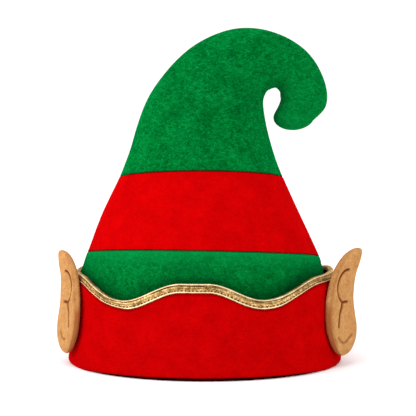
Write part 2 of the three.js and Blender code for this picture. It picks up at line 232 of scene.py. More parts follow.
# Crown above the cuff, along its middle line. Columns: side as a share of CURL_REACH, rise as a
# share of the way from the cuff's highest edge to CREST_HEIGHT, half width as a share of the
# crown's at that edge, half depth over half width, and tilt and turn in degrees
CROWN_ROWS = (
    (-0.024, 0.025, 0.986, 0.86, 0, 0),
    (-0.022, 0.068, 0.961, 0.85, 0, 0),
    (-0.04, 0.275, 0.808, 0.82, 0, 2),
    (-0.037, 0.445, 0.67, 0.79, 0, 4),
    (-0.034, 0.565, 0.592, 0.77, 0, 4),
    (-0.03, 0.68, 0.535, 0.75, 0, 4),
    (0.004, 0.795, 0.48, 0.73, 2, 4),
    (0.107, 0.882, 0.42, 0.72, 13, 4),
    (0.272, 0.957, 0.353, 0.71, 33, 4),
    (0.5, 1, 0.291, 0.7, 58, 4),
    (0.731, 0.989, 0.223, 0.72, 93, 4),
    (0.908, 0.933, 0.199, 0.72, 126, 4),
    (1, 0.846, 0.195, 0.7, 162, 4),
    (0.998, 0.78, 0.191, 0.72, 184, 4),
    (0.908, 0.721, 0.162, 0.76, 191, 4),
    (0.838, 0.661, 0, 0.78, 191, 4),
)

# Ear outline from its lowest point to its tip. Columns: up as a share of EAR_LENGTH, front and
# back edges as shares of EAR_WIDTH, and thickness as a share of EAR_THICKNESS
EAR_OUTLINE = (
    (0, 0.26, 0.34, 0.1),
    (0.017, 0.195, 0.42, 0.45),
    (0.055, 0.115, 0.525, 0.75),
    (0.14, 0.04, 0.645, 0.95),
    (0.25, 0, 0.712, 1),
    (0.36, 0.01, 0.715, 1),
    (0.46, 0.045, 0.72, 1),
    (0.57, 0.1, 0.745, 1),
    (0.68, 0.17, 0.785, 1),
    (0.77, 0.25, 0.845, 1),
    (0.86, 0.375, 0.935, 1),
    (0.94, 0.55, 1, 0.9),
    (0.983, 0.71, 0.995, 0.6),
    (1, 0.82, 0.92, 0.1),
)

# Sewn creases on an ear's outer face: the ones that both ears have, and each ear's lowest one.
# Columns: across as a share of EAR_WIDTH, up as a share of EAR_LENGTH
EAR_CREASES = (
    (
        (0.615, 0.812),
        (0.528, 0.808),
        (0.442, 0.783),
        (0.376, 0.745),
        (0.327, 0.68),
        (0.313, 0.605),
        (0.362, 0.545),
        (0.423, 0.504),
    ),
    ((0.423, 0.504), (0.475, 0.506), (0.525, 0.506)),
    ((0.423, 0.504), (0.367, 0.438), (0.305, 0.386), (0.252, 0.33), (0.235, 0.284)),
)
LEFT_LOWEST_CREASE = ((0.31, 0.142), (0.37, 0.142), (0.43, 0.165), (0.475, 0.2))
RIGHT_LOWEST_CREASE = (
    (0.182, 0.18),
    (0.227, 0.146),
    (0.291, 0.124),
    (0.368, 0.134),
    (0.444, 0.166),
    (0.509, 0.188),
)

# Gold binding in section, from the inside of its top round the outer face to its inside hem.
# Columns: out from the middle of the cloth and down from the edge, in millimetres, how dark the
# painted shade in its grooves and on its inside is, and how bright its painted rim highlights are
TRIM_PROFILE = (
    (-1.3, 0.05, 0.65, 0),
    (0, 0, 0.45, 0),
    (1.2, 0.12, 0.25, 0.1),
    (2.0, 0.5, 0, 0.85),
    (2.38, 1.05, 0.2, 0.4),
    (2.2, 1.55, 0.75, 0),
    (1.8, 1.9, 1, 0),
    (1.95, 2.3, 0.45, 0),
    (2.12, 2.9, 0, 0),
    (2.2, 4.2, 0, 0),
    (2.12, 5.4, 0, 0),
    (1.98, 5.9, 0.25, 0),
    (1.9, 6.25, 0.45, 0),
    (2.1, 6.6, 0.2, 0.1),
    (2.42, 7.1, 0, 0.9),
    (2.3, 7.65, 0.2, 0.25),
    (1.85, 7.98, 0.6, 0),
    (1.35, 7.9, 0.8, 0),
    (1.35, 4, 0.8, 0),
    (1.35, 0.85, 0.8, 0),
    (0, 0.8, 0.8, 0),
    (-1.35, 0.85, 0.8, 0),
    (-1.35, 3, 0.8, 0),
    (-1.4, 4.9, 0.8, 0),
    (-1.9, 5.0, 0.75, 0),
    (-2.2, 4.6, 0.65, 0),
    (-2.15, 2.5, 0.6, 0),
    (-2.1, 0.8, 0.65, 0),
    (-1.85, 0.3, 0.65, 0),
)

# Stitches in the binding: their pitch, how far below its edge and out from the middle of the cloth
# they lie, how far they bow out, and the least and most that they measure, in millimetres
STITCH_PITCH = 3.2 * MM
STITCH_BELOW = 5.95 * MM
STITCH_OUT = 2.15 * MM
STITCH_BOW = 0.15 * MM
STITCH_LENGTHS = (1.2, 2.0)
STITCH_RADII = (0.36, 0.5)

# Beside the ears the binding is pulled in to this share of its width. The pull starts at the first
# angle from the middle of the front or back, and is full from the second one on
TRIM_PULL = 0.8
TRIM_PULL_START = math.radians(32)
TRIM_PULL_END = math.radians(42)

# There the painted highlights on its rims are this much weaker, and all of it is this much browner
PULLED_DULL = 0.35
PULLED_BROWN = 0.08

# Lines that run along the binding where its cloth is gathered: distances below its edge, width,
# depth, and how far they wander up and down
GATHERS = (2.5 * MM, 3.3 * MM, 4.3 * MM)
GATHER_WIDTH = 0.4 * MM
GATHER_DEPTH = 0.3 * MM
GATHER_WANDER = 0.35 * MM

# Lengths along the binding over which they wander, and come and go
WANDER_LENGTH = 30 * MM
GATHER_LENGTH = 55 * MM

# The binding's outside, which is gathered and crumpled, starts this far out from the middle of the
# cloth, in millimetres
TRIM_OUTSIDE = 1.2


def spaced(count):
    """Shares from 0 to 1, close together at both ends."""
    return (1 - np.cos(np.linspace(0, np.pi, count))) / 2


def smooth(rows, place):
    """Rows of a table at fractional places, on a smooth curve through them."""
    rows = np.asarray(rows, float)
    last = len(rows) - 1
    index = np.clip(np.floor(place).astype(int), 0, last - 1)
    share = (place - index)[..., None]
    before, start, end, after = (rows[np.clip(index + k, 0, last)] for k in (-1, 0, 1, 2))
    leaving = (end - before) / 2
    arriving = (after - start) / 2
    square, cube = share**2, share**3
    return (
        (2 * cube - 3 * square + 1) * start
        + (cube - 2 * square + share) * leaving
        + (3 * square - 2 * cube) * end
        + (cube - square) * arriving
    )


def ripples(points, size, seed, stretch=(1, 1, 1)):
    """Soft random swells of about the given size, between about -1 and 1."""
    random = np.random.default_rng(seed)
    total = np.zeros(points.shape[:-1])
    waves = 14
    for _ in range(waves):
        direction = random.normal(size=3)
        direction *= 1 / np.linalg.norm(direction) / np.array(stretch)
        length = size * random.uniform(0.7, 1.5)
        phase = random.uniform(0, 2 * np.pi)
        total += np.sin(points @ direction * 2 * np.pi / length + phase)
    return total / math.sqrt(waves)


def swells(points, table, stretch=(1, 1, 1)):
    """Sum of the ripples in a table of heights, sizes and seeds."""
    return sum(height * ripples(points, size, seed, stretch) for height, size, seed in table)


def fading(distance, strength, reach):
    """Strength that fades with distance, to about a third of itself at its reach."""
    return strength * np.exp(-distance / reach)


def full_turn(count):
    """Evenly spaced angles all the way round."""
    return np.linspace(0, 2 * np.pi, count, endpoint=False)


def grid_faces(rows, columns, closed):
    """Quads of a grid of points, wrapping round its columns if closed."""
    index = np.arange(rows * columns).reshape(rows, columns)
    if closed:
        index = np.concatenate([index, index[:, :1]], axis=1)
    corners = (index[:-1, :-1], index[:-1, 1:], index[1:, 1:], index[1:, :-1])
    return np.stack(corners, axis=-1).reshape(-1, 4)


def ring_faces(rows, columns):
    """Quads of a grid of points that wraps round both ways."""
    return grid_faces(rows + 1, columns, closed=True) % (rows * columns)


def make_piece(name, points, faces, nodes, material, values):
    """A smooth mesh that stands for CAD nodes, if any. values are numbers for each point, by name."""
    mesh = bpy.data.meshes.new(name)
    mesh.from_pydata(points.reshape(-1, 3).tolist(), [], faces.tolist())
    for key, value in values.items():
        mesh.attributes.new(key, "FLOAT", "POINT").data.foreach_set("value", value.ravel())
    mesh.polygons.foreach_set("use_smooth", [True] * len(mesh.polygons))
    mesh.materials.append(material)
    mesh.validate()
    piece = bpy.data.objects.new(name, mesh)
    bpy.context.collection.objects.link(piece)
    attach(piece, "root")
    if nodes:
        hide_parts(*nodes)
    return piece


def shell(outer, inner):
    """Points and faces of a cloth wall between two matching grids."""
    rows, columns = outer.shape[:2]
    around = np.concatenate([outer, inner[:, ::-1]], axis=1)
    faces = grid_faces(rows, 2 * columns, closed=True)
    ends = []
    for row, flip in ((0, False), (rows - 1, True)):
        out = row * 2 * columns + np.arange(columns)
        into = row * 2 * columns + 2 * columns - 1 - np.arange(columns)
        strip = np.stack([out[:-1], into[:-1], into[1:], out[1:]], axis=-1)
        ends.append(strip[:, ::-1] if flip else strip)
    return around, np.concatenate([faces, *ends])


# Cuff


def cuff_points(turn, height, inset):
    """Points at angles round the cuff, at a height and this far in from its outer face."""
    lean = CUFF_LEAN * height + inset
    return np.stack(
        [
            CENTRE_X + (CUFF_WIDTH / 2 - lean) * np.sin(turn),
            -(CUFF_DEPTH / 2 - lean) * np.cos(turn),
            height + 0 * turn,
        ],
        axis=-1,
    )


def edge_height(turn):
    """Height of the cuff's wavy edge at angles round it."""
    degrees = (np.degrees(turn) - EDGE_TURN + 180) % 360 - 180
    rounds, heights = np.array(EDGE_WAVE, float).T
    index = np.clip(np.searchsorted(rounds, degrees, side="right") - 1, 0, len(rounds) - 2)
    share = (degrees - rounds[index]) / (rounds[index + 1] - rounds[index])
    eased = (1 - np.cos(np.pi * share)) / 2
    return EDGE_HEIGHT + EDGE_RISE * (heights[index] + (heights[index + 1] - heights[index]) * eased)


def unit(vectors):
    return vectors / np.linalg.norm(vectors, axis=-1, keepdims=True)


def edge_frames(turn):
    """Along the wavy edge: its points, and the directions out of the cloth and down it."""

    def edge_points(angle):
        return cuff_points(angle, edge_height(angle), CUFF_WALL / 2)

    step = 0.01
    along = unit(edge_points(turn + step) - edge_points(turn - step))
    level = unit(cuff_points(turn + step, 0, 0) - cuff_points(turn - step, 0, 0))
    up = unit(cuff_points(turn, MM, 0) - cuff_points(turn, 0, 0))
    out = unit(np.cross(level, up))
    down = unit(np.cross(out, along))
    down *= -np.sign(down[..., 2:])
    return edge_points(turn), out, down


def fold_lift(turn):
    """Share of FOLD_LIFT by which the fold stands off the surface, in its middle at front and back."""
    from_middle = np.minimum(np.abs(turn), np.pi - np.abs(turn))
    return np.cos(np.clip(from_middle / FOLD_LIFT_REACH, 0, 1) * np.pi / 2) ** FOLD_LIFT_EASE


def cuff_section(turn, top):
    """Insets, heights and painted shade of the cuff's cloth, in rows from the top of its outer face,
    under the fold, up the return, down into the fold and up the inner face."""
    lift = fold_lift(turn)
    raised = FOLD_LIFT * lift
    fold = smooth(FOLD_PROFILE, np.linspace(0, len(FOLD_PROFILE) - 1, CUFF_STEPS["fold"]))
    inset, height, shift, rise, dark = fold.T[..., None]
    fold_inset = (inset + shift * lift) * MM
    fold_height = np.maximum(0, height * MM + rise * lift * FOLD_LIFT)
    # Painted shade in the recess under the fold, where it lifts
    fold_painted_shade = dark * np.minimum(1, 2 * lift)
    wall = np.linspace(0, 1, CUFF_STEPS["wall"])[:, None]
    outer = fold_height[0] + (top - fold_height[0]) * wall[::-1][:-1]
    back = np.linspace(0, 1, CUFF_STEPS["return"])[1:, None]
    back = back * (RETURN_HEIGHT - fold_height[-1]) + fold_height[-1]
    radius = CUFF_FOLD / 2
    inside = CUFF_FOLD - CUFF_WALL
    foot = radius + 0.9 * raised
    inner = foot + (top - foot) * wall
    level = np.ones((1, len(turn)))
    runs = (
        (0, outer, 0),
        (fold_inset, fold_height, fold_painted_shade),
        (CUFF_FOLD, back, 0),
        (inside, RETURN_HEIGHT, 0),
        (inside, RETURN_HEIGHT / 2, 0),
        (inside, radius + 0.5 * raised, 0),
        (radius, CUFF_WALL + raised, 0),
        (CUFF_WALL, inner, 0),
    )
    runs = [np.broadcast_arrays(*run, level)[:3] for run in runs]
    return (np.concatenate(rows) for rows in zip(*runs))


def build_cuff(material):
    around = CUFF_STEPS["around"]
    turn = np.linspace(-np.pi, np.pi, around, endpoint=False)
    _, _, down = edge_frames(turn)
    top = edge_height(turn) - (TRIM_WALL + GAP) / -down[:, 2]
    inset, height, painted_shade = cuff_section(turn, top)
    plain = cuff_points(turn, height, inset)
    held = np.clip((height - CUFF_HELD_HEIGHT) / CUFF_FREED_OVER, 0, 1)
    below = top - height
    puff = CUFF_PUFF * np.exp(-(((below - CUFF_PUFF_BELOW) / CUFF_PUFF_REACH) ** 2))
    loose = np.clip(below / CUFF_LOOSE_OVER, 0, 1)
    out = np.arange(len(height))[:, None] < CUFF_STEPS["wall"] - 1
    swell = held * (swells(plain, CUFF_SWELLS) * loose + puff * out)
    points = cuff_points(turn, height, inset - swell - swells(plain, CUFF_NAP) * out)
    # Painted shadow on the cuff just below the binding, and painted shade over all of the cuff
    from_trim = np.clip(below - TRIM_WIDTH * trim_width_share(turn), 0, None)
    painted_shade = np.maximum(painted_shade, out * fading(from_trim, *TRIM_SHADE))
    values = {"painted_shade": np.maximum(painted_shade, CUFF_PAINTED_SHADE), "painted_light": 0 * painted_shade}
    faces = ring_faces(len(height), around)
    return make_piece("cuff_cloth", points, faces, ["cuff"], material, values)


# Gold binding


def trim_pull(turn):
    """How far the binding is pulled in, from 0 in the middle of the front or back to 1."""
    from_front = np.abs((turn + np.pi) % (2 * np.pi) - np.pi)
    from_middle = np.minimum(from_front, np.pi - from_front)
    share = np.clip((from_middle - TRIM_PULL_START) / (TRIM_PULL_END - TRIM_PULL_START), 0, 1)
    return share**2 * (3 - 2 * share)


def trim_width_share(turn):
    """Share of its width that the binding keeps."""
    return 1 - (1 - TRIM_PULL) * trim_pull(turn)


def trim_frames(turn):
    """Points along the wavy edge, the direction out of its cloth, and the one down it, which is as
    long as the share of its width that the binding keeps there."""
    origin, out, down = edge_frames(turn)
    return origin, out, down * trim_width_share(turn)[:, None]


def gather_lines(base, below):
    """Strength of the lines where the binding is gathered, which come and go along it."""
    total = np.zeros(base.shape[:-1])
    centre = base[:, :1]
    for number, place in enumerate(GATHERS):
        wander = place + GATHER_WANDER * ripples(centre, WANDER_LENGTH, 14 + number)
        strength = np.clip(1.4 * ripples(centre, GATHER_LENGTH, 17 + number) + 0.3, 0, 1)
        line = np.exp(-(((below - wander) / GATHER_WIDTH) ** 2))
        total = np.maximum(total, strength * line)
    return total


def build_trim(material):
    turn = full_turn(TRIM_STEPS["around"])
    origin, out, down = (field[:, None] for field in trim_frames(turn))
    table = np.array(TRIM_PROFILE + TRIM_PROFILE[:1], float)
    profile = smooth(table, np.linspace(0, len(table) - 1, TRIM_STEPS["section"])[:-1])
    outward, below, dark, painted_rim_highlight = profile.T
    outside = np.clip(outward - TRIM_OUTSIDE, 0, 1)
    outward, below = outward * MM, below * MM
    base = origin + out * outward[None, :, None] + down * below[None, :, None]
    gathers = gather_lines(base, below) * outside
    relief = swells(base, TRIM_CRUMPLES) * outside - GATHER_DEPTH * gathers
    points = base + out * relief[..., None]
    uneven = np.clip(0.75 + 0.5 * ripples(base, 12 * MM, 13), 0.15, 1.3)
    pull = trim_pull(turn)[:, None]
    # Painted shade in the grooves, on the inside and in the gathers, browner beside the ears
    groove = np.clip(dark * uneven + 0.9 * gathers + PULLED_BROWN * pull, 0, 1)
    # Painted highlights on the rims, weaker beside the ears
    painted_rim_highlight = painted_rim_highlight * (1 - PULLED_DULL * pull) * (1.1 - 0.3 * uneven)
    values = {"groove": groove, "painted_rim_highlight": np.clip(painted_rim_highlight, 0, 1)}
    faces = ring_faces(len(turn), len(profile))
    return make_piece("gold_binding", points, faces, ["gold_trim"], material, values)


def build_stitches(material):
    """Short dark threads, sunk a little into the ribbon, with uneven lengths."""
    fields = trim_frames(full_turn(TRIM_STEPS["around"]))
    lengths = np.linalg.norm(np.roll(fields[0], -1, axis=0) - fields[0], axis=-1)
    total = lengths.sum()
    marks = np.concatenate([[0], np.cumsum(lengths)[:-1], [total]])
    fields = [np.concatenate([field, field[:1]]) for field in fields]
    count = round(total / STITCH_PITCH)
    sides, steps = STITCH_STEPS["around"], STITCH_STEPS["along"]
    ring = full_turn(sides)[None, :, None]
    bow = STITCH_BOW * np.sin(np.linspace(0, np.pi, steps))[:, None]
    round_end = np.sqrt(np.clip(1 - np.linspace(-0.93, 0.93, steps) ** 2, 0, 1))
    random = np.random.default_rng(41)
    points, faces = [], []
    for number in range(count):
        centre = (number + random.uniform(-0.12, 0.12)) / count * total
        length = random.uniform(*STITCH_LENGTHS) * MM
        radius = random.uniform(*STITCH_RADII) * MM
        below = STITCH_BELOW + random.uniform(-0.15, 0.15) * MM
        spots = np.mod(centre + np.linspace(-length / 2, length / 2, steps), total)
        at, off, fall = (
            np.stack([np.interp(spots, marks, field[:, k]) for k in range(3)], axis=-1)
            for field in fields
        )
        axis = at + off * (STITCH_OUT + bow) + fall * below
        swing = np.cos(ring) * off[:, None] + np.sin(ring) * fall[:, None]
        faces.append(grid_faces(steps, sides, closed=True) + number * steps * sides)
        points.append(axis[:, None] + swing * (radius * round_end)[:, None, None])
    points = np.array(points)
    values = {"groove": np.full(points.shape[:-1], 1.0), "painted_rim_highlight": np.zeros(points.shape[:-1])}
    return make_piece("gold_stitches", points, np.concatenate(faces), [], material, values)


# Crown


def crown_sections():
    """Sections in metres and radians: one above the cuff's return, one behind the cuff's highest
    edge, and the rows of the table above them."""

    def inside_cuff(height, inset, ease):
        half = CUFF_WIDTH / 2 - CUFF_LEAN * height - inset - ease
        depth = CUFF_DEPTH / 2 - CUFF_LEAN * height - inset - ease
        return [-ease, height, half, depth, 0, 0]

    edge_top = EDGE_HEIGHT + EDGE_RISE
    edge = inside_cuff(edge_top, CUFF_WALL + TRIM_WALL + 2 * GAP, CROWN_EASE)
    above = []
    for side, rise, half, depth, tilt, turn in CROWN_ROWS:
        height = edge_top + rise * (CREST_HEIGHT - edge_top)
        width = half * edge[2]
        tilt, turn = math.radians(tilt), math.radians(turn)
        above.append([side * CURL_REACH, height, width, width * depth, tilt, turn])
    return np.array([inside_cuff(RETURN_HEIGHT + GAP, CUFF_FOLD - CUFF_WALL, 0), edge, *above])


SECTIONS = crown_sections()
EDGE_PLACE = 1
TIP_PLACE = len(SECTIONS) - 1
CAP_PLACE = TIP_PLACE - 1

# The crown rises steadily up to this section
RISING_PLACE = 8


def crown_at(place):
    """Sections at places along the crown: straight inside the cuff, smooth above it, and rounded
    like half an ellipse at the tip."""
    rows = smooth(SECTIONS[EDGE_PLACE:TIP_PLACE], np.clip(place, EDGE_PLACE, CAP_PLACE) - EDGE_PLACE)
    inside = (place < EDGE_PLACE)[..., None]
    low = SECTIONS[0] + (SECTIONS[1] - SECTIONS[0]) * place[..., None]
    rows = np.where(inside, low, rows)
    closing = np.clip(place - CAP_PLACE, 0, 1)[..., None]
    cap = SECTIONS[CAP_PLACE] + (SECTIONS[TIP_PLACE] - SECTIONS[CAP_PLACE]) * closing
    cap[..., 2:4] = SECTIONS[CAP_PLACE][2:4] * np.sqrt(1 - closing**2)
    return np.where(closing > 0, cap, rows)


def place_of_height(height):
    """Place along the crown at a height, where the crown still rises steadily."""
    places = np.linspace(0, RISING_PLACE, 2000)
    return np.interp(height, crown_at(places)[:, 1], places)


def lower_seam(angle):
    rise = LOWER_SEAM_RISE * np.sin(angle) - LOWER_SEAM_SLANT * np.cos(angle)
    return place_of_height(LOWER_SEAM + rise)


def upper_seam(angle):
    rise = UPPER_SEAM_RISE * np.sin(angle) - UPPER_SEAM_SLANT * np.cos(angle)
    return place_of_height(UPPER_SEAM + rise)


def crown_points(place, angle, facing, inset):
    """Points on the front (facing -1) or back (facing 1) panel. angle runs from the +X side seam
    to the -X one."""
    side, rise, half, depth, tilt, turn = np.moveaxis(crown_at(place), -1, 0)
    across = np.maximum(0, half - inset) * np.cos(angle)
    round_front = np.abs(np.sin(angle)) ** SIDE_RIDGE
    deep = facing * (GAP / 2 + np.maximum(0, depth - inset - GAP / 2) * round_front)
    x = side + across * np.cos(tilt)
    z = rise - across * np.sin(tilt)
    return np.stack(
        [CENTRE_X + x * np.cos(turn) - deep * np.sin(turn), x * np.sin(turn) + deep * np.cos(turn), z],
        axis=-1,
    )


def lengths_from_start(points, axis):
    steps = np.linalg.norm(np.diff(points, axis=axis), axis=-1)
    start = np.zeros_like(np.take(steps, [0], axis=axis))
    return np.cumsum(np.concatenate([start, steps], axis=axis), axis=axis)


def roll_in(distance, radius):
    """How far a rolled cloth edge drops at a distance from its seam."""
    near = radius - np.minimum(distance, radius)
    return radius - np.sqrt(np.maximum(0, radius**2 - near**2))


def build_panel(name, node, facing, place, angle, material, tip):
    """One cloth panel of a band, with its edges rolled into its seams. The tip has no end seam."""
    plain = crown_points(place, angle, facing, 0)
    up = lengths_from_start(plain, 0)
    across = lengths_from_start(plain, 1)
    side = np.minimum(across, across[:, -1:] - across)
    side_roll = np.minimum(SIDE_SEAM_ROLL, SIDE_ROLL_SHARE * across[:, -1:])
    drop = roll_in(up, SEAM_ROLL) + roll_in(side, np.maximum(side_roll, 1e-9))
    to_end = up[-1:] - up
    if not tip:
        drop = drop + roll_in(to_end, SEAM_ROLL)
    drop = np.minimum(drop, ROLL_WALL_SHARE * CROWN_WALL)
    free = np.clip(side / CROWN_FREED_OVER, 0, 1)
    free = free * np.clip((plain[..., 2] - EDGE_HEIGHT) / CROWN_FREED_OVER, 0, 1)
    swell = swells(plain, CROWN_SWELLS)
    pucker = fading(np.minimum(up, to_end), swells(plain, CROWN_PUCKERS, (1, 1, 4)), PUCKER_REACH)
    relief = free * (swell + pucker + swells(plain, CROWN_NAP))
    outer = crown_points(place, angle, facing, drop - relief)
    wall_end = place
    if tip:
        cap_length = np.linalg.norm(SECTIONS[TIP_PLACE][:2] - SECTIONS[CAP_PLACE][:2])
        closing = np.clip(place - CAP_PLACE, 0, 1)
        wall_end = place - closing * TIP_WALL / cap_length
    inner = crown_points(wall_end, angle, facing, CROWN_WALL - free * swell)
    points, faces = shell(outer, inner)
    if facing > 0:
        faces = faces[:, ::-1]
    # Painted shade and painted light on the pile
    painted_shade, painted_light = (
        np.concatenate([grid, grid[:, ::-1]], axis=1)
        for grid in panel_shade(plain, up, to_end, side, tip)
    )
    values = {"painted_shade": painted_shade, "painted_light": painted_light}
    return make_piece(name, points, faces, [node], material, values)


def panel_shade(plain, up, to_end, side, tip):
    """How dark the painted shade on the pile is in the seams and behind the cuff's edge, and how
    bright the painted light on it is below the lower seam, along the side seams and at the tip."""

    def in_seam(distance):
        strength, width = SEAM_SHADE
        return strength * np.exp(-((distance / width) ** 2))

    turn = np.arctan2(plain[..., 0] - CENTRE_X, -plain[..., 1] * CUFF_WIDTH / CUFF_DEPTH)
    above_edge = np.clip(plain[..., 2] - edge_height(turn), 0, None)
    painted_shade = np.maximum(in_seam(up), fading(above_edge, *BEHIND_EDGE_SHADE))
    painted_light = fading(side, *SIDE_SEAM_PAINTED_LIGHT)
    if tip:
        return painted_shade, painted_light + fading(to_end, *TIP_PAINTED_LIGHT)
    below_seam = plain[..., 2] < LOWER_SEAM + LOWER_SEAM_RISE
    painted_light = painted_light + fading(to_end, *LOWER_SEAM_PAINTED_LIGHT) * below_seam
    return np.maximum(painted_shade, in_seam(to_end)), painted_light


def half_gap(place):
    """Half the gap at a seam, in places along the crown."""
    step = 0.01
    speed = (crown_at(place + step)[..., 1] - crown_at(place - step)[..., 1]) / (2 * step)
    return GAP / 2 / speed


def build_crown(green, red):
    angle = spaced(CROWN_STEPS["across"]) * np.pi
    low_seam, high_seam = lower_seam(angle), upper_seam(angle)
    low_gap, high_gap = half_gap(low_seam), half_gap(high_seam)
    lower = spaced(CROWN_STEPS["lower"])[:, None] * (low_seam - low_gap)
    start = low_seam + low_gap
    middle = start + spaced(CROWN_STEPS["middle"])[:, None] * (high_seam - high_gap - start)
    start = high_seam + high_gap
    rising = (1 - np.cos(np.linspace(0, np.pi / 2, CROWN_STEPS["top"])))[:, None]
    top = start + rising * (CAP_PLACE - start)
    cap = np.sin(np.linspace(0, np.pi / 2, CROWN_STEPS["tip"]))[1:, None]
    top = np.concatenate([top, CAP_PLACE + cap + 0 * angle])
    top_angle = spaced(CROWN_STEPS["top_across"]) * np.pi
    top = np.stack([np.interp(top_angle, angle, row) for row in top])
    bands = (
        ("lower", lower, angle, "green", green, False),
        ("middle", middle, angle, "red", red, False),
        ("top", top, top_angle, "green", green, True),
    )
    for band, place, angles, slot, material, tip in bands:
        for word, facing in (("front", -1), ("back", 1)):
            node = f"{band}_{word}_panel"
            build_panel(f"{node}_cloth", node, facing, place, angles, material, tip)


# Ears


def polyline_distance(points, line):
    """Distance of flat points from a line through a few points."""
    best = np.full(points.shape[:-1], np.inf)
    for start, end in zip(line[:-1], line[1:]):
        run = end - start
        share = np.clip(((points - start) @ run) / (run @ run), 0, 1)
        best = np.minimum(best, np.linalg.norm(points - start - share[..., None] * run, axis=-1))
    return best


def crease_depth(flat, lines):
    """How deep in a crease points of the flat ear are, from 0 to 1, fading at loose ends."""
    depth = np.zeros(flat.shape[:-1])
    for table in lines:
        line = np.array(table) * (EAR_WIDTH, EAR_LENGTH)
        line = smooth(line, np.linspace(0, len(line) - 1, 24))
        distance = polyline_distance(flat, line)
        depth = np.maximum(depth, np.exp(-((distance / CREASE_HALF_WIDTH) ** 2)))
    return depth


def round_trip(face, other):
    """Columns over one face of the ear and back over the other, which meet at its edges."""
    return np.concatenate([face, other[:, -2:0:-1]], axis=1)


def build_ear(name, node, side, stance, lowest_crease, material):
    rows, columns = EAR_STEPS["up"], EAR_STEPS["across"]
    outline = smooth(EAR_OUTLINE, np.linspace(0, len(EAR_OUTLINE) - 1, rows))
    up, front, back, thick = (column[:, None] for column in outline.T)
    share = spaced(columns)[None, :]
    across = (front + (back - front) * share) * EAR_WIDTH
    height = up * EAR_LENGTH + 0 * across
    half = EAR_THICKNESS / 2 * thick
    fullness = (1 - np.abs(2 * share - 1) ** EAR_SQUARENESS) ** (1 / EAR_SQUARENESS)
    lift = half * fullness
    inward = np.sin(np.pi * np.clip(up, 0, 1))
    dish = EAR_DISH * inward * np.sin(np.pi * share) ** EAR_DISH_SHARPNESS
    flat = np.stack([across, height], axis=-1)
    lowest = LOWEST_CREASE_SHARE * crease_depth(flat, (lowest_crease,))
    crease = np.maximum(crease_depth(flat, EAR_CREASES), lowest)
    place = np.stack([across, height, 0 * across], axis=-1)
    swell = swells(place, EAR_SWELLS) * inward * fullness
    outer = lift - dish + swell - CREASE_DEPTH * crease
    # Painted shade and a painted red reflection from the cuff on the side strip along the front edge
    strip = np.clip((STRIP_SHARE - fullness) / STRIP_SOFTNESS, 0, 1) * (share < 0.5)
    seam = np.exp(-(((fullness - STRIP_SHARE) / STRIP_SEAM_WIDTH) ** 2)) * (share < 0.5) * inward**0.3
    outer = outer - STRIP_SEAM_DEPTH * seam
    across = round_trip(across, across)
    height = round_trip(height, height)
    lift = round_trip(outer, 0 * outer - lift)
    # Brown thread in the creases, and painted shade in the seam beside the strip
    groove = np.clip(np.maximum(CREASE_TONE * crease, STRIP_SEAM_TONE * seam), 0, 1)
    groove = round_trip(groove, 0 * outer)
    strip = strip * np.clip((STRIP_TOP + STRIP_FADE - up) / STRIP_FADE, STRIP_ABOVE, 1)
    strip = round_trip(strip + 0 * outer, STRIP_BEHIND * strip + 0 * outer)
    held = EAR_CLEARANCE + EAR_HELD_SHARE * EAR_LENGTH
    height = EAR_CLEARANCE * (1 + stance["raise"]) + height * stance["length"]
    lean = EAR_LEAN * np.minimum(height, held) + stance["tip_lean"] * np.maximum(0, height - held)
    turn, rake = math.radians(90 - stance["attach"]), math.radians(stance["rake"])
    x = CUFF_WIDTH / 2 * math.sin(turn) - lean + across * math.cos(rake) + lift * math.sin(rake)
    y = -CUFF_DEPTH / 2 * math.cos(turn) + across * math.sin(rake) - lift * math.cos(rake)
    low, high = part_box(node)
    seat = (low.x if side > 0 else -high.x) - x.min()
    points = np.stack([side * (x + seat), y, height], axis=-1)
    around = points.shape[1]
    faces = grid_faces(rows, around, closed=True)
    later = np.arange(1, around - 1)
    bottom = np.stack([later, later + 1, 0 * later], axis=-1)
    top = bottom + (rows - 1) * around
    faces = faces if side > 0 else faces[:, ::-1]
    caps = [bottom, top[:, ::-1]] if side > 0 else [bottom[:, ::-1], top]
    faces = faces.tolist() + [face for cap in caps for face in cap.tolist()]
    values = {"groove": groove, "strip": strip}
    faces = np.array(faces, dtype=object)
    piece = make_piece(name, points, faces, [node], material, values)
    return piece


# Materials


